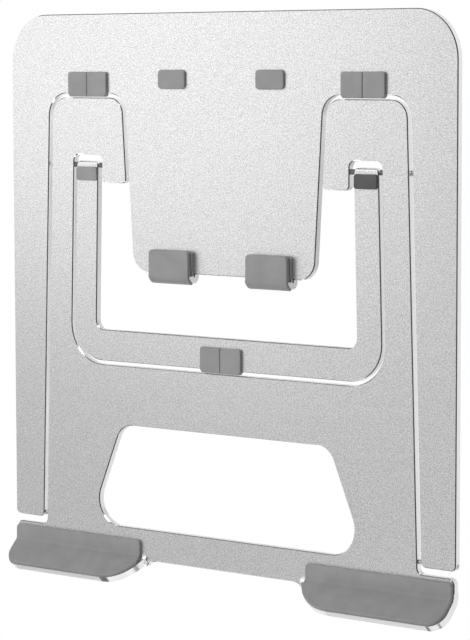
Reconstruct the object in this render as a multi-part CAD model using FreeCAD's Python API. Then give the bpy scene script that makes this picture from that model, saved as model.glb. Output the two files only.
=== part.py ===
# Folding laptop stand of three nested sheet-aluminium frames, folded flat.
# +X is to the right, +Y runs from the lips (front) to the rear edge, +Z is up.
# The origin is below the centre of the outline, on the surface that the feet stand on.
# The base frame is outermost, the support plate with its two lips is hinged inside it,
# and the U-shaped prop is hinged inside the support plate.
import FreeCAD, Part
import math
import os

# ---- driving dimensions, in millimetres ----
width = 256.0            # over the base frame's two side strips
sheet = 3.5              # thickness of all three plates
foot = 1.0               # rubber that stands out below the plates
edge_break = 0.42        # chamfer round every plate edge

# distances from the rear edge, measured along the plates
slot_rear = 37.2         # rear edge of the base frame's two slots
arm_rear = 39.0          # rear end of the support plate's arms
prop_slot_rear = 65.8    # rear end of the support plate's slot for the prop
prop_rear = 68.6         # rear end of the prop's arms
prop_pin_at = 70.6       # axis of the prop's hinge pins
prong_end = 78.8         # front end of the short prongs beside the tongue
tongue_end = 119.4       # front end of the base frame's tongue
prop_bar_rear = 147.9    # rear edge of the prop's cross bar
prop_bar_front = 162.6   # front edge of the prop's cross bar
window_rear = 192.3      # rear edge of the window in the support plate
plate_pin_at = 238.9     # axis of the support plate's hinge pins
window_front = 240.65    # front edge of the window
strip_end = 241.0        # front end of the base frame's side strips
ear_rear = 244.2         # rear edge of the support plate's ears
bend_at = 251.84         # where the lips start to bend up
middle_front = 255.4     # front edge of the support plate between the lips

# half widths: (at a distance from the rear edge, growth per millimetre towards the front)
slot_gap_line = (103.3, 53.0, 0.030)    # middle of the gap between side strip and arm
tongue_line = (56.4, 52.0, -0.0607)     # side of the tongue
prop_outer_line = (87.2, 75.0, 0.0268)  # outer side of the prop's arms
prop_inner_line = (74.0, 78.0, 0.0223)  # inner side of the prop's arms
side_gap = 2.0           # between side strip and arm
plate_gap = 1.8          # between the other nested edges
prong_outer = 71.4       # half width at the prongs' outer sides

# corner radii
base_corner_r = 21.8
slot_outer_r = 10.5
slot_inner_r = 9.5
tongue_r = 9.0
strip_r = 2.4
prong_r = 2.2
prop_slot_r = 3.0
prop_tip_r = 2.5
prop_outer_r = 17.0
prop_inner_r = 4.5
ear_r = 3.0
window_rear_r = 10.0
window_front_r = 12.3
window_rear_half = 60.4
window_front_half = 80.4

# lips
lip_angle = 45.0         # turned up from the plate
lip_bend_r = 4.0         # inside radius of the bend
lip_flat = 13.2          # flat part beyond the bend
ear_half = 127.3         # half width over the ears and lips
lip_inner = 45.2         # half width where each lip starts
lip_inner_r = 21.3       # sweep from the lip's inner end to its front edge
lip_web = [              # sweep from the front edge into the lip: half width, distance, radius
    (43.6, 256.3, 4.0),
    (40.6, middle_front, 8.0),
]
lip_web_front = 258.2    # where that sweep meets the lip's inner end
lip_inner_reach = 20.8   # how far inboard that sweep runs
lip_outer_r = 7.9
pad_thick = 1.5
pad_edge = 0.5           # metal that shows round the pads
pad_rear = 245.8
pad_inner = 48.4
pad_corner_r = 2.2

# hooks at the tongue's front end, and their rubber covers
hook_at = 28.3           # half distance between the two hooks' middles
hook_width = 24.8        # over the bend
hook_leg_width = 22.0    # the leg is narrower, so that the shoulders hold the cover
hook_sheet = 2.8         # the tab is pressed thinner than the plate
hook_outer_r = 3.3
hook_reach = 0.9         # how far past the tongue's front edge the bend starts
hook_tip = 110.2         # rear end of the turned-over leg
cover_width = 23.8
cover_rear = 108.7
cover_wall = 0.8
cover_wrap_width = 23.2
cover_flange = 0.6       # foot of the cover, a little wider than its body
cover_flange_high = 1.6
cover_wrap_from = math.radians(100)   # where the cover ends round the bend; 0 is down, 180 is up

# edge bumpers, plugs and pads
bumper_width = 23.5
bumper_at = 79.3         # half distance between the base bumpers' middles
bumper_rear = 27.0
bumper_high = 1.4
bumper_r = 1.2           # outer rear corner
bumper_edge_r = 0.4
bumper_lip = 1.4         # reach of the lip past the plate's edge
bumper_lip_drop = 1.2    # how far the lip comes down over the edge
bumper_lip_inset = 1.2   # how much shorter the lip is at its outer end
bumper_lip_r = 0.5
bumper_seam = 0.24
prop_bumper_rear = 152.2
plug_width = 15.8
plug_long = 8.8
plug_rear = 26.1
plug_r = 1.9
plug_high = 1.2
plug_step = 1.5
prop_pad_width = 12.4
prop_pad_rear = 71.4
prop_pad_long = 6.5
prop_pad_high = 0.9
prop_pad_sunk = 0.9
heel_inner = 60.0
heel_outer = 116.0
heel_rear = 246.5
heel_foot_flat = 3.0

# pins
prop_pin_r = 0.9
prop_pin_inner = 62.0
prop_head_r = 1.3
prop_head_thick = 0.8
plate_pin_r = 1.0
plate_pin_inner = 96.0
plate_pin_outer = 127.9
running = 0.04           # radial clearance of a pin in the piece that turns on it
spacer_r = 1.2
spacer_play = 0.15
bore_past = 0.5          # how far a blind bore runs past its pin

# ---- positions that follow from these ----
lip_rise = math.radians(lip_angle)
tip_reach = bend_at + (lip_bend_r + sheet) * math.sin(lip_rise) + lip_flat * math.cos(lip_rise)
rear_y = tip_reach / 2.0
low = foot
high = foot + sheet
middle = foot + sheet / 2.0

V = FreeCAD.Vector


def at(distance):
    """Y of a point this far from the rear edge."""
    return rear_y - distance


def half(line, distance):
    """Half width on a slanted side line at this distance from the rear edge."""
    value, where, growth = line
    return value + growth * (distance - where)


def rounded_wire(corners):
    """Closed wire through (x, y, radius) corners, with each corner rounded."""
    count = len(corners)
    starts = []
    ends = []
    mids = []
    for i in range(count):
        x, y, r = corners[i]
        here = V(x, y, 0)
        before = V(corners[i - 1][0], corners[i - 1][1], 0)
        after = V(corners[(i + 1) % count][0], corners[(i + 1) % count][1], 0)
        back = (before - here).normalize()
        on = (after - here).normalize()
        opening = back.getAngle(on)
        if r == 0:
            starts.append(here)
            ends.append(here)
            mids.append(None)
            continue
        cut = r / math.tan(opening / 2.0)
        centre = here + (back + on).normalize() * (r / math.sin(opening / 2.0))
        starts.append(here + back * cut)
        ends.append(here + on * cut)
        mids.append(centre + (here - centre).normalize() * r)
    edges = []
    for i in range(count):
        if mids[i] is not None:
            edges.append(Part.Arc(starts[i], mids[i], ends[i]).toShape())
        following = starts[(i + 1) % count]
        if ends[i].distanceToPoint(following) > 1e-6:
            edges.append(Part.LineSegment(ends[i], following).toShape())
    return Part.Wire(edges)


def slab(corners, bottom, thickness):
    """Flat piece with a rounded outline, standing on the height 'bottom'."""
    face = Part.Face(rounded_wire(corners))
    face.translate(V(0, 0, bottom))
    return face.extrude(V(0, 0, thickness))


def mirrored(right):
    """Closed outline from its right half, listed from one centre line end to the other."""
    return right + [(-x, y, r) for x, y, r in reversed(right)]


def block(x0, x1, d0, d1, z0, z1):
    """Box between two x, two distances from the rear edge and two heights."""
    return Part.makeBox(x1 - x0, d1 - d0, z1 - z0, V(x0, at(d1), z0))


def rod(x0, x1, distance, height, radius):
    """Cylinder along X."""
    return Part.makeCylinder(radius, x1 - x0, V(x0, at(distance), height), V(1, 0, 0))


def flip(shape):
    """The same piece on the left side."""
    return shape.mirror(V(0, 0, 0), V(1, 0, 0))


def break_edges(plate):
    """Chamfer all edges of the plate's top and bottom faces."""
    flat = []
    for edge in plate.Edges:
        heights = [v.Z for v in edge.Vertexes]
        if max(heights) - min(heights) < 1e-6:
            flat.append(edge)
    return plate.makeChamfer(edge_break, flat)


def strip_side(x0, x1, profile):
    """Solid along X from a closed list of edges in the Y-Z plane."""
    face = Part.Face(Part.Wire(profile))
    face.translate(V(x0, 0, 0))
    return face.extrude(V(x1 - x0, 0, 0))


# ---- the bend of the lips, in the Y-Z plane ----
bend_y = at(bend_at)
bend_z = high + lip_bend_r
bend_centre = V(0, bend_y, bend_z)


def on_bend(radius, angle):
    """Point on the bend: angle 0 is where it starts, lip_rise is where the lip goes on."""
    return bend_centre + V(0, -radius * math.sin(angle), -radius * math.cos(angle))


def bend_piece(x0, x1, outer, inner):
    """The bent stretch between two radii about the bend's centre."""
    half_way = lip_rise / 2.0
    profile = [
        Part.Arc(on_bend(outer, 0), on_bend(outer, half_way), on_bend(outer, lip_rise)).toShape(),
        Part.LineSegment(on_bend(outer, lip_rise), on_bend(inner, lip_rise)).toShape(),
        Part.Arc(on_bend(inner, lip_rise), on_bend(inner, half_way), on_bend(inner, 0)).toShape(),
        Part.LineSegment(on_bend(inner, 0), on_bend(outer, 0)).toShape(),
    ]
    return strip_side(x0, x1, profile)


def lip_slab(outline, from_radius, thickness):
    """Flat lip drawn lying down, with its root at y = 0, then turned up onto the bend."""
    flat = Part.Face(outline).extrude(V(0, 0, thickness))
    flat.rotate(V(0, 0, 0), V(1, 0, 0), -lip_angle)
    flat.translate(on_bend(from_radius, lip_rise))
    return flat


def lip_outline(inset, root):
    """Right lip's flat outline; the root line is at y = 0 and the front edge at -lip_flat."""
    front = -(lip_flat - inset)
    outer = ear_half - inset
    outer_r = lip_outer_r - inset
    sweep_r = lip_inner_r - inset
    sweep_x = lip_inner + lip_inner_reach
    centre = V(sweep_x, front + sweep_r, 0)
    start_x = max(root, sweep_x - math.sqrt(sweep_r ** 2 - centre.y ** 2))
    start_y = centre.y - math.sqrt(sweep_r ** 2 - (start_x - sweep_x) ** 2)
    start = V(start_x, min(start_y, 0), 0)
    end = V(sweep_x, front, 0)
    turn = centre + ((start + end) * 0.5 - centre).normalize() * sweep_r
    corner = V(outer - outer_r, front + outer_r, 0)
    slant = outer_r * math.sqrt(0.5)
    edges = [
        Part.Arc(start, turn, end).toShape(),
        Part.LineSegment(end, V(corner.x, front, 0)).toShape(),
        Part.Arc(V(corner.x, front, 0), corner + V(slant, -slant, 0), V(outer, corner.y, 0)).toShape(),
        Part.LineSegment(V(outer, corner.y, 0), V(outer, 0, 0)).toShape(),
        Part.LineSegment(V(outer, 0, 0), V(start.x, 0, 0)).toShape(),
    ]
    if start.y < -1e-6:
        edges.append(Part.LineSegment(V(start.x, 0, 0), start).toShape())
    return Part.Wire(edges)


# ---- the base frame ----
def base_frame():
    """Outer frame: rear area, two side strips and the central tongue with two hooks."""
    edge = width / 2.0
    right = [
        (edge, at(0), base_corner_r),
        (edge, at(strip_end), strip_r),
        (half(slot_gap_line, strip_end) + side_gap / 2.0, at(strip_end), strip_r),
        (half(slot_gap_line, slot_rear) + side_gap / 2.0, at(slot_rear), slot_outer_r),
        (half(tongue_line, slot_rear), at(slot_rear), slot_inner_r),
        (half(tongue_line, tongue_end), at(tongue_end), tongue_r),
    ]
    plate = slab(mirrored(right), low, sheet)
    for side in (-1, 1):
        plate = plate.cut(plug_stem(side))
    plate = break_edges(plate)
    for side in (-1, 1):
        plate = plate.fuse(hook(side * hook_at))
    for side in (-1, 1):
        bore = rod(plate_pin_inner, width / 2.0 + 1, plate_pin_at, middle, plate_pin_r)
        plate = plate.cut(bore if side > 0 else flip(bore))
    return plate.removeSplitter()


def hook_section(outer_r, inner_r, first, last):
    """Edges of an annular sector about the hook's bend; 0 is down, 180 degrees is up."""
    centre = V(0, at(tongue_end + hook_reach), low + hook_outer_r)

    def point(radius, angle):
        return centre + V(0, -radius * math.sin(angle), -radius * math.cos(angle))

    half_way = (first + last) / 2.0
    return [
        Part.Arc(point(outer_r, first), point(outer_r, half_way), point(outer_r, last)).toShape(),
        Part.LineSegment(point(outer_r, last), point(inner_r, last)).toShape(),
        Part.Arc(point(inner_r, last), point(inner_r, half_way), point(inner_r, first)).toShape(),
        Part.LineSegment(point(inner_r, first), point(outer_r, first)).toShape(),
    ]


def hook(x):
    """Tab of the tongue turned up and back over it."""
    x0 = x - hook_width / 2.0
    x1 = x + hook_width / 2.0
    bend_start = tongue_end + hook_reach
    bend = strip_side(x0, x1, hook_section(hook_outer_r, hook_outer_r - hook_sheet, 0, math.pi))
    root = block(x0, x1, tongue_end - 2, bend_start, low, low + hook_sheet)
    top = low + 2 * hook_outer_r
    leg_x0 = x - hook_leg_width / 2.0
    leg_x1 = x + hook_leg_width / 2.0
    leg = block(leg_x0, leg_x1, hook_tip, bend_start, top - hook_sheet, top)
    return root.fuse([bend, leg])


def hook_cover(side):
    """Rubber cap over the hook's leg and round the upper half of its bend."""
    x = side * hook_at
    top = low + 2 * hook_outer_r
    x0 = x - cover_width / 2.0
    x1 = x + cover_width / 2.0
    bend_start = tongue_end + hook_reach
    body = block(x0, x1, cover_rear, bend_start, high, top + cover_wall)
    soft = [e for e in body.Edges if e.Length > cover_width - 1 and e.CenterOfMass.z > top]
    soft = [e for e in soft if e.CenterOfMass.y > at(cover_rear) - 1]
    body = body.makeFillet(0.7, soft)
    flange = block(x0 - cover_flange, x1 + cover_flange, cover_rear, tongue_end, high, high + cover_flange_high)
    upright = [e for e in flange.Edges if abs(e.Length - cover_flange_high) < 1e-6 and e.CenterOfMass.y > at(111)]
    flange = flange.makeFillet(1.2, upright)
    wrap_x0 = x - cover_wrap_width / 2.0
    wrap_x1 = x + cover_wrap_width / 2.0
    wrap = strip_side(wrap_x0, wrap_x1,
                      hook_section(hook_outer_r + cover_wall, hook_outer_r, cover_wrap_from, math.pi))
    cover = body.fuse([flange, wrap])
    return cover.cut(hook(x)).removeSplitter()


# ---- the support plate ----
def support_plate():
    """Middle frame: body with a window, two arms with prongs, two ears with lips."""
    right = [
        (half(slot_gap_line, arm_rear) - side_gap / 2.0, at(arm_rear), slot_outer_r - side_gap),
        (half(slot_gap_line, ear_rear) - side_gap / 2.0, at(ear_rear), ear_r),
        (ear_half, at(ear_rear), ear_r),
        (ear_half, at(bend_at), 0),
        (lip_inner + edge_break, at(bend_at), 0),
        (lip_inner + edge_break, at(lip_web_front), 0),
    ]
    right += [(x, at(d), r) for x, d, r in lip_web]
    inside = [
        (half(prop_outer_line, prop_bar_front) + plate_gap, at(prop_bar_front + plate_gap), prop_outer_r + plate_gap),
        (half(prop_outer_line, prop_slot_rear) + plate_gap, at(prop_slot_rear), prop_slot_r),
        (prong_outer, at(prop_slot_rear), prop_slot_r),
        (prong_outer, at(prong_end), prong_r),
        (half(tongue_line, prong_end) + plate_gap, at(prong_end), prong_r),
        (half(tongue_line, arm_rear) + plate_gap, at(arm_rear), slot_inner_r - plate_gap),
    ]
    outline = inside + right
    plate = slab(outline + [(-x, y, r) for x, y, r in reversed(outline)], low, sheet)
    window = [
        (window_rear_half, at(window_rear), window_rear_r),
        (window_front_half, at(window_front), window_front_r),
    ]
    plate = plate.cut(slab(mirrored(window), low - 1, sheet + 2))
    plate = break_edges(plate)
    bend = bend_piece(lip_inner, ear_half, lip_bend_r + sheet, lip_bend_r)
    lip = lip_slab(lip_outline(0, lip_inner), lip_bend_r + sheet, sheet)
    root = block(lip_inner, ear_half, bend_at - 1, bend_at, low, high)
    turned_up = root.fuse([bend, lip])
    plate = plate.fuse([turned_up, flip(turned_up)])
    bores = [
        rod(plate_pin_inner - bore_past, ear_half, plate_pin_at, middle, plate_pin_r + running),
        rod(prop_pin_inner, ear_half, prop_pin_at, middle, prop_pin_r),
    ]
    for bore in bores:
        plate = plate.cut([bore, flip(bore)])
    return plate.removeSplitter()


def lip_pad():
    """Right lip's rubber: one sheet over the plate, the bend and the lip."""
    pad_bend_r = lip_bend_r - pad_thick
    flat_corners = [
        (pad_inner, at(pad_rear), pad_corner_r),
        (ear_half - pad_edge, at(pad_rear), pad_corner_r),
        (ear_half - pad_edge, at(bend_at), 0),
        (pad_inner, at(bend_at), 0),
    ]
    flat = slab(flat_corners, high, pad_thick)
    bend = bend_piece(pad_inner, ear_half - pad_edge, lip_bend_r, pad_bend_r)
    turned = lip_slab(lip_outline(pad_edge, pad_inner), lip_bend_r, pad_thick)
    return flat.fuse([bend, turned]).removeSplitter()


def heel_foot():
    """Rubber foot under the right lip's bend, where the opened stand meets the desk."""
    outer = lip_bend_r + sheet + foot
    inner = lip_bend_r + sheet
    flat = block(heel_inner, heel_outer, heel_rear, bend_at, 0, foot)
    bend = bend_piece(heel_inner, heel_outer, outer, inner)
    outline = Part.makePolygon([
        V(heel_inner, 0, 0), V(heel_inner, -heel_foot_flat, 0),
        V(heel_outer, -heel_foot_flat, 0), V(heel_outer, 0, 0), V(heel_inner, 0, 0)])
    turned = lip_slab(outline, outer, foot)
    return flat.fuse([bend, turned]).removeSplitter()


# ---- the prop ----
def prop_frame():
    """U-shaped prop: two arms hinged at their rear ends and a cross bar."""
    outer_bar = half(prop_outer_line, prop_bar_front)
    outer_tip = half(prop_outer_line, prop_rear)
    inner_bar = half(prop_inner_line, prop_bar_rear)
    inner_tip = half(prop_inner_line, prop_rear)
    right = [
        (inner_bar, at(prop_bar_rear), prop_inner_r),
        (inner_tip, at(prop_rear), prop_tip_r),
        (outer_tip, at(prop_rear), prop_tip_r),
        (outer_bar, at(prop_bar_front), prop_outer_r),
    ]
    plate = break_edges(slab(mirrored(right), low, sheet))
    nose_at = prop_rear + sheet / 2.0
    nose = rod(inner_tip - 1, outer_tip + 1, nose_at, middle, sheet / 2.0)
    cuts = [
        rod(inner_tip - 1, outer_tip + 1, prop_pin_at, middle, prop_pin_r + running),
        prop_pad_body(high - prop_pad_sunk),
        block(inner_tip - 1, outer_tip + 1, prop_rear - 1, nose_at, low - 1, high + 1).cut(nose),
    ]
    for cut in cuts:
        plate = plate.cut([cut, flip(cut)])
    return plate.removeSplitter()


def prop_pad_body(bottom):
    """Rounded block of the pad on the right arm, from the height 'bottom' up."""
    centre = (half(prop_outer_line, prop_pad_rear) + half(prop_inner_line, prop_pad_rear)) / 2.0
    x0 = centre - prop_pad_width / 2.0
    x1 = centre + prop_pad_width / 2.0
    d1 = prop_pad_rear + prop_pad_long
    corners = [(x0, at(prop_pad_rear), 1), (x1, at(prop_pad_rear), 1), (x1, at(d1), 1), (x0, at(d1), 1)]
    return slab(corners, bottom, high + prop_pad_high - bottom)


def prop_pad():
    """Rubber pad let into the right arm just in front of its hinge pin."""
    pad = prop_pad_body(high - prop_pad_sunk)
    pad_top = [e for e in pad.Edges if abs(e.CenterOfMass.z - high - prop_pad_high) < 1e-6]
    return pad.makeFillet(0.3, pad_top)


# ---- rubber on the plate edges ----
def bumper(x_end, x_seam, rear, edge_at, over):
    """Half of a split bumper: a pad on the plate with a short lip over the plate's front edge."""
    lip_end = x_end + math.copysign(bumper_lip_inset, x_seam - x_end)
    corners = [
        (x_end, at(rear), bumper_r),
        (x_seam, at(rear), 0),
        (x_seam, at(edge_at + over), 0),
        (lip_end, at(edge_at + over), bumper_lip_r),
        (x_end, at(edge_at), bumper_lip_r),
    ]
    whole = slab(corners, high - bumper_lip_drop, bumper_lip_drop + bumper_high)
    upper = [e for e in whole.Edges if e.BoundBox.ZMin > high + bumper_high - 1e-6]
    whole = whole.makeFillet(bumper_edge_r, upper)
    reach = bumper_width
    return whole.cut(block(x_end - reach, x_end + reach, rear - 1, edge_at, low, high))


def bumper_halves(x, rear, edge_at, over):
    """The two halves of a split bumper about x: left half first."""
    reach = bumper_width / 2.0
    gap = bumper_seam / 2.0
    return [
        bumper(x - reach, x - gap, rear, edge_at, over),
        bumper(x + reach, x + gap, rear, edge_at, over),
    ]


def plug_slab(side, step, bottom, thickness):
    """Rounded rectangle of the plug, smaller by 'step' all round."""
    x0 = side * hook_at - plug_width / 2.0 + step
    x1 = side * hook_at + plug_width / 2.0 - step
    y0 = at(plug_rear + step)
    y1 = at(plug_rear + plug_long - step)
    r = plug_r - step / 2.0
    return slab([(x0, y0, r), (x1, y0, r), (x1, y1, r), (x0, y1, r)], bottom, thickness)


def plug_stem(side):
    """The stretch of the plug inside the base frame."""
    return plug_slab(side, plug_step, low, sheet)


def foot_plug(side):
    """Rubber plug through the base frame, with a head above and a foot below."""
    head = plug_slab(side, 0, high, plug_high)
    head_top = [e for e in head.Edges if abs(e.CenterOfMass.z - high - plug_high) < 1e-6]
    head = head.makeFillet(0.5, head_top)
    stem = plug_slab(side, plug_step, low, sheet)
    sole = plug_slab(side, 0, 0, foot)
    return head.fuse([stem, sole]).removeSplitter()


# ---- pins and spacers ----
def prop_hinge_pin():
    """Headed pin from the right arm's outer side through the prop into the prong."""
    arm_side = half(slot_gap_line, prop_pin_at) - side_gap / 2.0
    shaft = rod(prop_pin_inner, arm_side, prop_pin_at, middle, prop_pin_r)
    head = rod(arm_side, arm_side + prop_head_thick, prop_pin_at, middle, prop_head_r)
    rim = [e for e in head.Edges if e.CenterOfMass.x > arm_side + prop_head_thick - 1e-6]
    return shaft.fuse(head.makeFillet(prop_head_thick / 2.0, rim)).removeSplitter()


def spacer(x0, x1):
    """Ring round the prop's hinge pin."""
    ring = rod(x0, x1, prop_pin_at, middle, spacer_r)
    return ring.cut(rod(x0 - 1, x1 + 1, prop_pin_at, middle, prop_pin_r))


def inner_spacer():
    """Ring between the right prong and the prop's arm."""
    arm = half(prop_inner_line, prop_pin_at)
    return spacer(prong_outer, arm - spacer_play)


def outer_spacer():
    """Ring between the prop's right arm and the support plate's arm."""
    arm = half(prop_outer_line, prop_pin_at)
    return spacer(arm + spacer_play, arm + plate_gap - spacer_play / 2.0)


def build_all():
    """Every piece by node name."""
    pieces = {
        "base_frame": base_frame(),
        "support_plate": support_plate(),
        "prop_frame": prop_frame(),
    }
    pairs = {
        "lip_pad": lip_pad(),
        "heel_foot": heel_foot(),
        "prop_pad": prop_pad(),
        "plate_hinge_pin": rod(plate_pin_inner, plate_pin_outer, plate_pin_at, middle, plate_pin_r),
        "prop_hinge_pin": prop_hinge_pin(),
        "inner_spacer": inner_spacer(),
        "outer_spacer": outer_spacer(),
    }
    for name, shape in pairs.items():
        pieces[name + "_right"] = shape
        pieces[name + "_left"] = flip(shape)
    for side, name in ((-1, "left"), (1, "right")):
        pieces["hook_cover_" + name] = hook_cover(side)
        pieces["foot_plug_" + name] = foot_plug(side)
        halves = bumper_halves(side * bumper_at, bumper_rear, slot_rear, bumper_lip)
        pieces["slot_bumper_" + name + "_a"] = halves[0]
        pieces["slot_bumper_" + name + "_b"] = halves[1]
    halves = bumper_halves(0, prop_bumper_rear, prop_bar_front, bumper_lip)
    pieces["prop_bumper_a"] = halves[0]
    pieces["prop_bumper_b"] = halves[1]
    return pieces


os.makedirs("parts", exist_ok=True)
for node, shape in sorted(build_all().items()):
    print(node, "valid", shape.isValid(), "solids", len(shape.Solids), "volume", round(shape.Volume, 1))
    shape.exportStep("parts/" + node + ".step")
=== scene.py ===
import bpy
import bmesh
import math
from mathutils import Matrix, Vector


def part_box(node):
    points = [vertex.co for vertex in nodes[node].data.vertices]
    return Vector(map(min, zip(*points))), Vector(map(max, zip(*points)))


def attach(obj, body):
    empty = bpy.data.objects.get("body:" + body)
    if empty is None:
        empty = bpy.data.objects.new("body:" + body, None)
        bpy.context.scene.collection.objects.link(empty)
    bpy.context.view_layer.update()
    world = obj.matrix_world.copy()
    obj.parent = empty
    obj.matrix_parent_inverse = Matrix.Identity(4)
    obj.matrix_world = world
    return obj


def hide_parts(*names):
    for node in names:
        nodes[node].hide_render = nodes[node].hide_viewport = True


# Folding laptop stand: three nested aluminium frames with grey rubber, lying folded flat.
# +X is to the right, +Y to the rear edge, +Z up; metres throughout, with mm for small sizes.

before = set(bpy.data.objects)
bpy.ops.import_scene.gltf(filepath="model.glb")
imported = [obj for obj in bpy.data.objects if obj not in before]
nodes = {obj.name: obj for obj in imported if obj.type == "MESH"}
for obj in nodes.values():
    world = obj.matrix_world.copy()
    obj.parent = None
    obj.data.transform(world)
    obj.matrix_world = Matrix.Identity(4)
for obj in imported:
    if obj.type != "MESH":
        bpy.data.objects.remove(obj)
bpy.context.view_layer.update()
mm = 0.001
print("frame loaded:", len(nodes), "nodes")


def hexColour(text):
    # sRGB hex value to linear RGBA
    channels = [int(text[i:i + 2], 16) / 255 for i in (1, 3, 5)]
    return [c / 12.92 if c <= 0.04045 else ((c + 0.055) / 1.055) ** 2.4 for c in channels] + [1.0]


def addNode(tree, kind, settings=None, inputs=None):
    # settings are the node's own properties; inputs are socket values or (node, output name) links
    node = tree.nodes.new(kind)
    for name, value in (settings or {}).items():
        setattr(node, name, value)
    for name, value in (inputs or {}).items():
        socket = node.inputs[name]
        if isinstance(value, tuple) and isinstance(value[0], bpy.types.Node):
            tree.links.new(value[0].outputs[value[1]], socket)
        else:
            socket.default_value = value
    return node


def newMaterial(name):
    material = bpy.data.materials.new(name)
    material.use_nodes = True
    material.node_tree.nodes.clear()
    return material, material.node_tree


def finishMaterial(tree, shader):
    addNode(tree, "ShaderNodeOutputMaterial", None, {"Surface": (shader, "BSDF")})


def setRamp(node, stops):
    # stops are (position, RGBA) pairs, the first two replacing the ramp's own
    elements = node.color_ramp.elements
    while len(elements) < len(stops):
        elements.new(0.5)
    for element, (position, colour) in zip(elements, stops):
        element.position = position
        element.color = colour


aluminiumLook = {
    "colour": "#dedede",
    "darkGrain": "#c0c0c0",
    "lightGrain": "#fafafa",
    "grainMm": 0.55,       # bead dimples are about 0.1 mm; drawn coarser so that the frosting shows
    "roughness": 0.40,
    "bump": 0.22,
    "chamferColour": "#f0f0f0",
    "chamferRoughness": 0.14,
    "chamferBump": 0.02,
    "reliefMm": 0.1,       # depth of the grain at full bump
}


def beadBlastedAnodisedAluminium():
    # bead blasting and clear anodising give a frosted silver with a fine sparkle;
    # the edges are cut after blasting, so the chamfers are brighter and smoother
    look = aluminiumLook
    material, tree = newMaterial("beadBlastedAnodisedAluminium")
    place = addNode(tree, "ShaderNodeTexCoord")
    grain = addNode(tree, "ShaderNodeTexNoise", {"noise_dimensions": "3D"}, {
        "Vector": (place, "Object"), "Scale": 1 / (look["grainMm"] * mm), "Detail": 1.5, "Roughness": 0.6})
    tone = addNode(tree, "ShaderNodeValToRGB", None, {"Fac": (grain, "Fac")})
    setRamp(tone, [(0.30, hexColour(look["darkGrain"])), (0.50, hexColour(look["colour"])),
                   (0.72, hexColour(look["lightGrain"]))])
    parts = addNode(tree, "ShaderNodeSeparateXYZ", None, {"Vector": (place, "Normal")})
    facing = addNode(tree, "ShaderNodeMath", {"operation": "ABSOLUTE"}, {0: (parts, "Z")})
    chamfer = addNode(tree, "ShaderNodeMapRange", {"interpolation_type": "SMOOTHSTEP"}, {
        "Value": (facing, "Value"), "From Min": 0.97, "From Max": 0.85, "To Min": 0.0, "To Max": 1.0})
    colour = addNode(tree, "ShaderNodeMix", {"data_type": "RGBA"}, {
        "Factor": (chamfer, "Result"), 6: (tone, "Color"), 7: hexColour(look["chamferColour"])})
    rough = addNode(tree, "ShaderNodeMapRange", None, {
        "Value": (chamfer, "Result"), "To Min": look["roughness"], "To Max": look["chamferRoughness"]})
    calm = addNode(tree, "ShaderNodeMapRange", None, {
        "Value": (chamfer, "Result"), "To Min": look["bump"], "To Max": look["chamferBump"]})
    bump = addNode(tree, "ShaderNodeBump", None, {
        "Strength": (calm, "Result"), "Distance": look["reliefMm"] * mm, "Height": (grain, "Fac")})
    shader = addNode(tree, "ShaderNodeBsdfPrincipled", None, {
        "Base Color": (colour, 2), "Metallic": 1.0, "Roughness": (rough, "Result"),
        "Normal": (bump, "Normal")})
    finishMaterial(tree, shader)
    return material


rubberLook = {
    "colour": "#999999",
    "dark": "#959595",
    "light": "#9d9d9d",
    "mottleMm": 9.0,
    "grainMm": 0.8,        # the mould's spark-eroded texture is about 0.05 mm; drawn coarser so that it shows
    "roughness": 0.50,
    "bump": 0.12,
    "reliefMm": 0.1,
}


def mouldedSiliconeRubber(name, look):
    # silicone pressed in a fine-textured mould: an even matt grey, with a soft sheen where it turns
    material, tree = newMaterial(name)
    place = addNode(tree, "ShaderNodeTexCoord")
    mottle = addNode(tree, "ShaderNodeTexNoise", None, {
        "Vector": (place, "Object"), "Scale": 1 / (look["mottleMm"] * mm), "Detail": 3.0})
    tone = addNode(tree, "ShaderNodeValToRGB", None, {"Fac": (mottle, "Fac")})
    setRamp(tone, [(0.35, hexColour(look["dark"])), (0.5, hexColour(look["colour"])),
                   (0.65, hexColour(look["light"]))])
    grain = addNode(tree, "ShaderNodeTexNoise", None, {
        "Vector": (place, "Object"), "Scale": 1 / (look["grainMm"] * mm), "Detail": 2.0})
    bump = addNode(tree, "ShaderNodeBump", None, {
        "Strength": look["bump"], "Distance": look["reliefMm"] * mm, "Height": (grain, "Fac")})
    shader = addNode(tree, "ShaderNodeBsdfPrincipled", None, {
        "Base Color": (tone, "Color"), "Metallic": 0.0, "Roughness": look["roughness"], "IOR": 1.43,
        "Normal": (bump, "Normal")})
    finishMaterial(tree, shader)
    return material


# painted shade: the same rubber drawn much darker, standing in for the shade that the right prop pad lies in
paintedShadeRubberLook = dict(rubberLook, colour="#585858", dark="#545454", light="#5c5c5c")

pinLook = {"colour": "#c9cacc", "dark": "#a9aaad", "grindMm": 0.25, "roughness": 0.24, "bump": 0.08,
           "reliefMm": 0.02}


def centrelessGroundSteel():
    # grinding leaves fine rings round the pin, which stretch its highlight across it
    look = pinLook
    material, tree = newMaterial("centrelessGroundSteel")
    place = addNode(tree, "ShaderNodeTexCoord")
    along = addNode(tree, "ShaderNodeMapping", None, {
        "Vector": (place, "Object"), "Scale": (1.0, 0.05, 0.05)})
    rings = addNode(tree, "ShaderNodeTexNoise", None, {
        "Vector": (along, "Vector"), "Scale": 1 / (look["grindMm"] * mm), "Detail": 2.0})
    tone = addNode(tree, "ShaderNodeValToRGB", None, {"Fac": (rings, "Fac")})
    setRamp(tone, [(0.3, hexColour(look["dark"])), (0.7, hexColour(look["colour"]))])
    bump = addNode(tree, "ShaderNodeBump", None, {
        "Strength": look["bump"], "Distance": look["reliefMm"] * mm, "Height": (rings, "Fac")})
    shader = addNode(tree, "ShaderNodeBsdfPrincipled", None, {
        "Base Color": (tone, "Color"), "Metallic": 1.0, "Roughness": look["roughness"],
        "Normal": (bump, "Normal")})
    finishMaterial(tree, shader)
    return material


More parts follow.
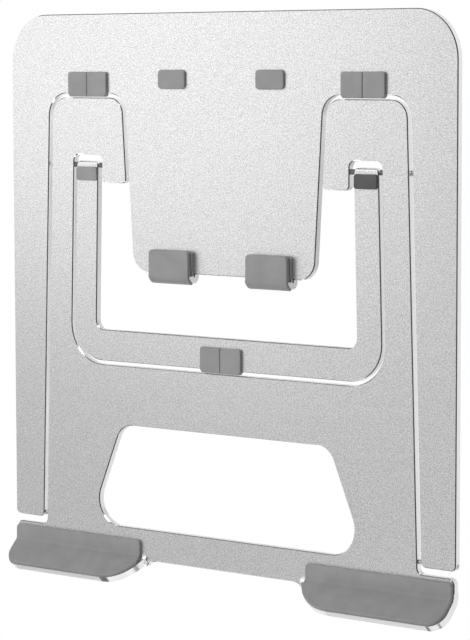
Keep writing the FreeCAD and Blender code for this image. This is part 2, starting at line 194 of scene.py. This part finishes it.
spacerLook = {"colour": "#6c6d70", "shade": "#5c5d60", "mottleMm": 1.5, "roughness": 0.42}


def turnedAcetal():
    # grey acetal has a waxy sheen; turning leaves it nearly smooth
    look = spacerLook
    material, tree = newMaterial("turnedAcetal")
    place = addNode(tree, "ShaderNodeTexCoord")
    mottle = addNode(tree, "ShaderNodeTexNoise", None, {
        "Vector": (place, "Object"), "Scale": 1 / (look["mottleMm"] * mm), "Detail": 2.0})
    tone = addNode(tree, "ShaderNodeValToRGB", None, {"Fac": (mottle, "Fac")})
    setRamp(tone, [(0.35, hexColour(look["shade"])), (0.65, hexColour(look["colour"]))])
    shader = addNode(tree, "ShaderNodeBsdfPrincipled", None, {
        "Base Color": (tone, "Color"), "Metallic": 0.0, "Roughness": look["roughness"], "IOR": 1.48})
    finishMaterial(tree, shader)
    return material


aluminium = beadBlastedAnodisedAluminium()
rubber = mouldedSiliconeRubber("mouldedSiliconeRubber", rubberLook)
paintedShadeRubber = mouldedSiliconeRubber("mouldedSiliconeRubberDark", paintedShadeRubberLook)
steel = centrelessGroundSteel()
acetal = turnedAcetal()

finishes = {
    "base_frame": aluminium, "support_plate": aluminium, "prop_frame": aluminium,
    "plate_hinge_pin": steel, "prop_hinge_pin": steel, "inner_spacer": acetal, "outer_spacer": acetal,
}
for nodeName, node in nodes.items():
    family = nodeName.replace("_left", "").replace("_right", "")
    material = finishes.get(family, rubber)
    for materialSlot in node.material_slots:
        materialSlot.material = material
print("materials made")


def roundedPoints(corners, perCorner=7):
    # closed line of points through (x, y, radius) corners
    points = []
    count = len(corners)
    for i, (x, y, radius) in enumerate(corners):
        here = Vector((x, y))
        back = (Vector(corners[i - 1][:2]) - here).normalized()
        onward = (Vector(corners[(i + 1) % count][:2]) - here).normalized()
        halfAngle = back.angle(onward) / 2
        reach = radius / math.tan(halfAngle)
        centre = here + (back + onward).normalized() * (radius / math.sin(halfAngle))
        first, last = here + back * reach - centre, here + onward * reach - centre
        sweep = first.angle_signed(last)
        for k in range(perCorner):
            # angle_signed counts clockwise
            points.append(centre + Matrix.Rotation(-sweep * k / (perCorner - 1), 2) @ first)
    return points


def insetPoints(points, step):
    # the same points moved inwards by step, along their averaged normals (points run anticlockwise)
    moved = []
    for i, here in enumerate(points):
        along = (points[(i + 1) % len(points)] - points[i - 1]).normalized()
        moved.append(here + Vector((-along.y, along.x)) * step)
    return moved


def addRings(mesh, rings, closeStart=True, closeEnd=True):
    # joins rings of equally many points into one closed skin
    made = [[mesh.verts.new(point) for point in ring] for ring in rings]
    for lower, upper in zip(made, made[1:]):
        for i in range(len(lower)):
            k = (i + 1) % len(lower)
            mesh.faces.new((lower[i], lower[k], upper[k], upper[i]))
    if closeStart:
        mesh.faces.new(list(reversed(made[0])))
    if closeEnd:
        mesh.faces.new(made[-1])


def edgeSteps(radius, count=4):
    # (inset, drop) pairs that round an edge from its side up to its top
    return [(radius * (1 - math.cos(a)), radius * (1 - math.sin(a)))
            for a in (math.pi / 2 * k / count for k in range(count + 1))]


softEdge = 0.12 * mm        # where a slab meets its plate
sharpEdge = 0.02 * mm       # where it is joined to another part of the same piece


def paddedRings(points, bottom, top, topRadius, crown=0.0, bottomRadius=softEdge):
    # level rings of a slab with rounded edges; crown raises its middle a little
    rings = []
    for inset, drop in reversed(edgeSteps(bottomRadius, 2)):
        rings.append([(p.x, p.y, bottom + drop) for p in insetPoints(points, inset)])
    for inset, drop in edgeSteps(topRadius):
        rings.append([(p.x, p.y, top - drop) for p in insetPoints(points, inset)])
    if crown:
        middle = sum(points, Vector((0, 0))) / len(points)
        flat = insetPoints(points, topRadius)
        for share in (0.25, 0.5, 0.75):
            rise = crown * (1 - (1 - share) ** 2)
            rings.append([(*p.lerp(middle, share), top + rise) for p in flat])
    return rings


def makePiece(name, mesh, material, body, replaced):
    bmesh.ops.remove_doubles(mesh, verts=mesh.verts, dist=1e-6)
    bmesh.ops.dissolve_degenerate(mesh, edges=mesh.edges, dist=1e-6)
    bmesh.ops.recalc_face_normals(mesh, faces=mesh.faces)
    data = bpy.data.meshes.new(name)
    mesh.to_mesh(data)
    mesh.free()
    data.shade_smooth()
    data.set_sharp_from_angle(angle=math.radians(38))
    data.materials.append(material)
    piece = bpy.data.objects.new(name, data)
    bpy.context.scene.collection.objects.link(piece)
    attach(piece, body)
    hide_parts(*replaced)
    return piece


def mirrorMesh(mesh, side):
    # pieces are drawn for the right side
    if side == "left":
        for vert in mesh.verts:
            vert.co.x = -vert.co.x


plug = {"headHigh": 1.2 * mm, "cornerRadius": 1.9 * mm, "edgeRadius": 0.45 * mm, "crown": 0.12 * mm,
        "stemStep": 1.5 * mm, "soleRadius": 0.3 * mm, "soleTopRadius": 0.1 * mm}


def footPlug(side):
    nodeName = "foot_plug_" + side
    low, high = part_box(nodeName)
    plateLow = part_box("prop_frame")[0].z
    plateHigh = high.z - plug["headHigh"]
    corners = [(low.x, low.y), (high.x, low.y), (high.x, high.y), (low.x, high.y)]
    outline = roundedPoints([(x, y, plug["cornerRadius"]) for x, y in corners])
    stem = insetPoints(outline, plug["stemStep"])
    sole = paddedRings(outline, low.z, plateLow, plug["soleTopRadius"], bottomRadius=plug["soleRadius"])
    head = paddedRings(outline, plateHigh, high.z, plug["edgeRadius"], crown=plug["crown"])
    waist = [[(p.x, p.y, z) for p in stem] for z in (plateLow, plateHigh)]
    mesh = bmesh.new()
    addRings(mesh, sole + waist + head)
    makePiece("footPlug." + side, mesh, rubber, "base", [nodeName])


armPad = {"cornerRadius": 1.3 * mm, "edgeRadius": 0.3 * mm, "crown": 0.06 * mm}


def propPad(side):
    nodeName = "prop_pad_" + side
    low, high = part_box(nodeName)
    corners = [(low.x, low.y), (high.x, low.y), (high.x, high.y), (low.x, high.y)]
    outline = roundedPoints([(x, y, armPad["cornerRadius"]) for x, y in corners])
    mesh = bmesh.new()
    addRings(mesh, paddedRings(outline, low.z, high.z, armPad["edgeRadius"], crown=armPad["crown"]))
    # the right pad takes the painted-shade copy of the rubber, darker only for the shade it lies in
    material = paintedShadeRubber if side == "right" else rubber
    makePiece("propPad." + side, mesh, material, "prop", [nodeName])


bumper = {"rearRadius": 1.2 * mm, "lipRadius": 0.5 * mm, "seamRadius": 0.25 * mm, "edgeRadius": 0.35 * mm,
          "lipInset": 1.2 * mm, "lipReach": 1.4 * mm, "high": 1.4 * mm, "crown": 0.08 * mm}


def splitBumper(nodeName, body, seamOnRight):
    low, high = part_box(nodeName)
    edgeY = low.y + bumper["lipReach"]       # front edge of the plate it sits on
    plateHigh = high.z - bumper["high"]
    if seamOnRight:
        seamX, endX, inward = high.x, low.x, 1
    else:
        seamX, endX, inward = low.x, high.x, -1
    corners = [
        (endX, high.y, bumper["rearRadius"]), (endX, edgeY, bumper["lipRadius"]),
        (endX + inward * bumper["lipInset"], low.y, bumper["lipRadius"]),
        (seamX, low.y, bumper["seamRadius"]), (seamX, high.y, bumper["seamRadius"]),
    ]
    if not seamOnRight:
        corners.reverse()
    outline = roundedPoints(corners)
    underside = [Vector((p.x, min(p.y, edgeY))) for p in outline]
    lip = [[(p.x, p.y, z) for p in underside] for z in (low.z, plateHigh)]
    top = paddedRings(outline, plateHigh, high.z, bumper["edgeRadius"], crown=bumper["crown"],
                      bottomRadius=sharpEdge)
    mesh = bmesh.new()
    addRings(mesh, lip + top)
    makePiece("bumper." + nodeName.replace("_bumper", ""), mesh, rubber, body, [nodeName])


cover = {"wall": 0.8 * mm, "rearRadius": 1.7 * mm, "edgeRadius": 0.5 * mm, "rearEdge": 0.8 * mm,
         "foot": 0.6 * mm, "footHigh": 1.6 * mm, "footCorner": 0.5 * mm, "footEdge": 0.25 * mm,
         "footLap": 0.1 * mm, "footShort": 0.8 * mm, "hookRadius": 3.3 * mm, "plateHigh": 4.5 * mm,
         "wrapFrom": math.radians(100), "wrapSteps": 16, "width": 23.5 * mm}


def roundLoss(radius, distance):
    # how much a rounded corner takes away at this distance from its end
    if distance >= radius:
        return 0.0
    return radius - math.sqrt(radius ** 2 - (radius - distance) ** 2)


def coverProfile(bendY, bendZ, rearY, lost):
    # closed line in the Y-Z plane: up the rear, over the top, round the bend, and back along the metal
    outer = cover["hookRadius"] + cover["wall"] - lost
    inner = cover["hookRadius"] - sharpEdge
    rear = cover["rearEdge"]
    line = [(rearY, cover["plateHigh"])]
    for k in range(6):
        turn = math.pi / 2 * k / 5
        line.append((rearY - rear * (1 - math.cos(turn)), bendZ + outer - rear * (1 - math.sin(turn))))
    steps = [k / cover["wrapSteps"] for k in range(cover["wrapSteps"] + 1)]
    arc = [math.pi + (cover["wrapFrom"] - math.pi) * share for share in steps]
    line += [(bendY - outer * math.sin(a), bendZ - outer * math.cos(a)) for a in arc]
    line += [(bendY - inner * math.sin(a), bendZ - inner * math.cos(a)) for a in reversed(arc)]
    line.append((bendY + sharpEdge, cover["plateHigh"]))
    return line


def hookCover(side):
    nodeName = "hook_cover_" + side
    low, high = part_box(nodeName)
    middle = (low.x + high.x) / 2
    bendY = low.y + (cover["hookRadius"] + cover["wall"]) * math.sin(cover["wrapFrom"])
    bendZ = high.z - cover["wall"] - cover["hookRadius"]
    half = cover["width"] / 2
    fine = [cover["edgeRadius"] * (1 - math.cos(math.pi / 2 * k / 4)) for k in range(5)]
    coarse = [cover["edgeRadius"] + (cover["rearRadius"] - cover["edgeRadius"]) * k / 5 for k in range(1, 6)]
    fromEnd = fine + coarse
    places = [-half + e for e in fromEnd] + [half - e for e in reversed(fromEnd)]
    rings = []
    for place in places:
        distance = half - abs(place)
        rearY = high.y - roundLoss(cover["rearRadius"], distance)
        profile = coverProfile(bendY, bendZ, rearY, roundLoss(cover["edgeRadius"], distance))
        rings.append([(middle + place, y, z) for y, z in profile])
    mesh = bmesh.new()
    addRings(mesh, rings)
    # a narrow foot along each side, on the tongue
    for sign in (-1, 1):
        x0, x1 = middle + sign * (half - cover["footLap"]), middle + sign * (half + cover["foot"])
        footRear = high.y - cover["footShort"]
        corners = [(x0, bendY, sharpEdge), (x1, bendY, sharpEdge),
                   (x1, footRear, cover["footCorner"]), (x0, footRear, sharpEdge)]
        outline = roundedPoints(corners if sign > 0 else corners[::-1])
        addRings(mesh, paddedRings(outline, low.z, low.z + cover["footHigh"], cover["footEdge"],
                                   bottomRadius=sharpEdge))
    makePiece("hookCover." + side, mesh, rubber, "base", [nodeName])


lipBend = {"angle": math.radians(45), "cuts": 8}


def bendUp(mesh, flat, radius, startY, baseZ):
    # turns a strip drawn flat (x across, y along it from its rear edge, z up) up over the lips' bend;
    # radius is that of the strip's lower face, and startY is where its rear edge lies
    arc = radius * lipBend["angle"]
    for k in range(-2, lipBend["cuts"] + 3):
        bmesh.ops.bisect_plane(mesh, geom=mesh.verts[:] + mesh.edges[:] + mesh.faces[:], dist=1e-7,
                               plane_co=(0, flat + arc * k / lipBend["cuts"], 0), plane_no=(0, 1, 0))
    for vert in mesh.verts:
        along, above = vert.co.y, vert.co.z
        angle = min(max((along - flat) / radius, 0), lipBend["angle"])
        beyond = max(along - flat - arc, 0)
        before = min(along, flat)
        vert.co.y = startY - before - (radius - above) * math.sin(angle) - beyond * math.cos(angle)
        vert.co.z = baseZ + radius - (radius - above) * math.cos(angle) + beyond * math.sin(angle)


lipPad = {"thick": 1.5 * mm, "edgeRadius": 0.5 * mm, "bendRadius": 4.0 * mm,
          "rearRadius": 2.2 * mm, "sweepRadius": 20.8 * mm, "frontRadius": 7.4 * mm, "flat": 12.7 * mm,
          "rearFlat": 6.04 * mm, "sweepOverlap": 3.2 * mm, "sweepSteps": 14, "cornerPoints": 9,
          "lowerRadius": 0.1 * mm}


def lipPadOutline(inner, outer):
    # developed flat: x across, y along the sheet from its rear edge
    front = lipPad["rearFlat"] + lipPad["bendRadius"] * lipBend["angle"] + lipPad["flat"]
    sweep = lipPad["sweepRadius"]
    sweepX = inner + sweep - lipPad["sweepOverlap"]
    centre = Vector((sweepX, front - sweep))
    steps, perCorner = lipPad["sweepSteps"], lipPad["cornerPoints"]
    startAngle = math.acos((sweepX - inner) / sweep)
    corners = [(inner, front, lipPad["lowerRadius"]), (inner, 0, lipPad["rearRadius"]),
               (outer, 0, lipPad["rearRadius"]), (outer, front, lipPad["frontRadius"])]
    points = roundedPoints(corners, perCorner)[perCorner:]     # the first corner gives way to the sweep
    for k in range(steps + 1):
        angle = math.pi / 2 + (math.pi / 2 - startAngle) * k / steps
        points.append(centre + sweep * Vector((math.cos(angle), math.sin(angle))))
    return points


def makeLipPad(side):
    nodeName = "lip_pad_" + side
    low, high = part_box("lip_pad_right")
    mesh = bmesh.new()
    addRings(mesh, paddedRings(lipPadOutline(low.x, high.x), 0, lipPad["thick"], lipPad["edgeRadius"],
                               bottomRadius=lipPad["lowerRadius"]))
    bendUp(mesh, lipPad["rearFlat"], lipPad["bendRadius"], high.y, low.z)
    mirrorMesh(mesh, side)
    makePiece("lipPad." + side, mesh, rubber, "plate", [nodeName])


heel = {"thick": 1.0 * mm, "bendRadius": 8.5 * mm, "rearFlat": 5.34 * mm, "frontFlat": 3.0 * mm,
        "edgeRadius": 0.4 * mm, "cornerRadius": 2.0 * mm}


def heelFoot(side):
    # a strip round the outside of the bend, on which the opened stand's front rests
    nodeName = "heel_foot_" + side
    low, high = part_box("heel_foot_right")
    front = heel["rearFlat"] + heel["bendRadius"] * lipBend["angle"] + heel["frontFlat"]
    outline = roundedPoints([(x, y, heel["cornerRadius"]) for x, y in
                             ((low.x, 0), (high.x, 0), (high.x, front), (low.x, front))])
    mesh = bmesh.new()
    addRings(mesh, paddedRings(outline, 0, heel["thick"], sharpEdge, bottomRadius=heel["edgeRadius"]))
    bendUp(mesh, heel["rearFlat"], heel["bendRadius"], high.y, low.z)
    mirrorMesh(mesh, side)
    makePiece("heelFoot." + side, mesh, rubber, "plate", [nodeName])


for side in ("left", "right"):
    footPlug(side)
    propPad(side)
    hookCover(side)
    makeLipPad(side)
    heelFoot(side)
    for half in ("a", "b"):
        splitBumper("slot_bumper_" + side + "_" + half, "base", half == "a")
for half in ("a", "b"):
    splitBumper("prop_bumper_" + half, "prop", half == "a")
print("rubber pieces made")


studio = {
    "floorColour": "#f2f2f2",
    "floorDepth": 0.08,      # below the stand, so that no pose is cut by it
    "floorGlow": 0.20,
    "floorSize": 1.1,
    "floorRoughness": 0.9,
    "fibreScale": 60.0,
    "fibreBump": 0.02,
    "fibreReliefMm": 0.2,
    "backdrop": 1.0,         # white seen behind the floor
    "domeToward": (-0.62, 0.05, 0.78),
    # (share of the way towards domeToward, strength)
    "domeStops": [(0.28, 0.24), (0.46, 0.07), (0.75, 0.22), (0.97, 0.62)],
    "domeStrength": 1.0,
}


def studioFloor():
    # matt white paper, shown to the camera as pure white; the stand itself sees its true shade
    look = studio
    material, tree = newMaterial("mattWhitePaper")
    place = addNode(tree, "ShaderNodeTexCoord")
    fibre = addNode(tree, "ShaderNodeTexNoise", None, {
        "Vector": (place, "Object"), "Scale": look["fibreScale"], "Detail": 3.0})
    bump = addNode(tree, "ShaderNodeBump", None, {
        "Strength": look["fibreBump"], "Distance": look["fibreReliefMm"] * mm, "Height": (fibre, "Fac")})
    paper = addNode(tree, "ShaderNodeBsdfPrincipled", None, {
        "Base Color": hexColour(look["floorColour"]), "Roughness": look["floorRoughness"],
        "Normal": (bump, "Normal"), "Emission Color": (1.0, 1.0, 1.0, 1.0),
        "Emission Strength": look["floorGlow"]})
    white = addNode(tree, "ShaderNodeEmission", None, {"Strength": look["backdrop"]})
    rays = addNode(tree, "ShaderNodeLightPath")
    mixed = addNode(tree, "ShaderNodeMixShader", None, {
        0: (rays, "Is Camera Ray"), 1: (paper, "BSDF"), 2: (white, "Emission")})
    addNode(tree, "ShaderNodeOutputMaterial", None, {"Surface": (mixed, "Shader")})
    mesh = bpy.data.meshes.new("floor")
    half = look["floorSize"] / 2
    corners = [(-half, -half, 0), (half, -half, 0), (half, half, 0), (-half, half, 0)]
    mesh.from_pydata(corners, [], [(0, 1, 2, 3)])
    mesh.materials.append(material)
    floor = bpy.data.objects.new("floor", mesh)
    floor.location.z = -look["floorDepth"]
    bpy.context.scene.collection.objects.link(floor)


def softBox(name, place, aim, size, watts):
    light = bpy.data.lights.new(name, "AREA")
    light.shape = "RECTANGLE"
    light.size, light.size_y = size
    light.energy = watts
    lamp = bpy.data.objects.new(name, light)
    lamp.location = place
    lamp.rotation_euler = (Vector(aim) - Vector(place)).to_track_quat("-Z", "Y").to_euler()
    lamp.visible_camera = False
    bpy.context.scene.collection.objects.link(lamp)


def studioDome():
    # a soft dome, brightest towards one side and dark near the horizon, behind a white backdrop
    look = studio
    world = bpy.data.worlds.new("studioDome")
    world.use_nodes = True
    tree = world.node_tree
    tree.nodes.clear()
    place = addNode(tree, "ShaderNodeTexCoord")
    toward = Vector(look["domeToward"]).normalized()
    share = addNode(tree, "ShaderNodeVectorMath", {"operation": "DOT_PRODUCT"}, {
        0: (place, "Generated"), 1: tuple(toward)})
    strength = addNode(tree, "ShaderNodeMapRange", None, {
        "Value": (share, "Value"), "From Min": -1.0, "From Max": 1.0})
    ramp = addNode(tree, "ShaderNodeValToRGB", None, {"Fac": (strength, "Result")})
    setRamp(ramp, [(at, (level, level, level, 1.0)) for at, level in look["domeStops"]])
    ramp.color_ramp.interpolation = "EASE"
    dome = addNode(tree, "ShaderNodeBackground", None, {
        "Color": (ramp, "Color"), "Strength": look["domeStrength"]})
    white = addNode(tree, "ShaderNodeBackground", None, {
        "Color": (1.0, 1.0, 1.0, 1.0), "Strength": look["backdrop"]})
    rays = addNode(tree, "ShaderNodeLightPath")
    mixed = addNode(tree, "ShaderNodeMixShader", None, {
        0: (rays, "Is Camera Ray"), 1: (dome, "Background"), 2: (white, "Background")})
    addNode(tree, "ShaderNodeOutputWorld", None, {"Surface": (mixed, "Shader")})
    bpy.context.scene.world = world


softBoxes = {
    "keyBox": {"place": (-0.33, 0.26, 0.30), "aim": (-0.22, 0.22, 0.0), "size": (0.55, 0.50), "watts": 0.62},
    "rearBox": {"place": (0.10, 0.90, 0.85), "aim": (0.0, 0.0, 0.0), "size": (0.6, 0.5), "watts": 5.0},
    "frontBox": {"place": (0.05, -0.90, 0.80), "aim": (0.0, -0.1, 0.0), "size": (0.6, 0.5), "watts": 4.5},
    "lowBox": {"place": (0.15, -0.90, 0.05), "aim": (0.0, -0.13, 0.02), "size": (1.3, 0.22), "watts": 0.8},
}


def studioLight():
    studioDome()
    for name, box in softBoxes.items():
        softBox(name, box["place"], box["aim"], box["size"], box["watts"])
    bpy.context.scene.view_settings.view_transform = "Standard"


cameraPlace = {
    "lens": 206.8,
    "sensor": 36.0,
    "target": (0.00786, -0.00578, 0.0045),
    "azimuth": 38.23,        # to the right of straight above
    "lift": 5.36,            # towards the rear edge
    "roll": -0.141,
    "distance": 1.223,
}


def studioCamera():
    place = cameraPlace
    turn = math.radians(place["azimuth"])
    lift = math.radians(place["lift"])
    back = Vector((math.sin(turn) * math.cos(lift), math.sin(lift), math.cos(turn) * math.cos(lift)))
    right = Vector((0, 1, 0)).cross(back).normalized()
    up = back.cross(right)
    roll = math.radians(place["roll"])
    rolledRight = math.cos(roll) * right + math.sin(roll) * up
    rolledUp = -math.sin(roll) * right + math.cos(roll) * up
    data = bpy.data.cameras.new("studioCamera")
    data.sensor_fit = "HORIZONTAL"
    data.sensor_width = place["sensor"]
    data.lens = place["lens"]
    data.clip_start = 0.01
    camera = bpy.data.objects.new("studioCamera", data)
    spot = Vector(place["target"]) + place["distance"] * back
    facing = Matrix((rolledRight, rolledUp, back)).transposed().to_4x4()
    camera.matrix_world = Matrix.Translation(spot) @ facing
    bpy.context.scene.collection.objects.link(camera)
    bpy.context.scene.camera = camera


studioFloor()
studioLight()
studioCamera()
print("studio set up")
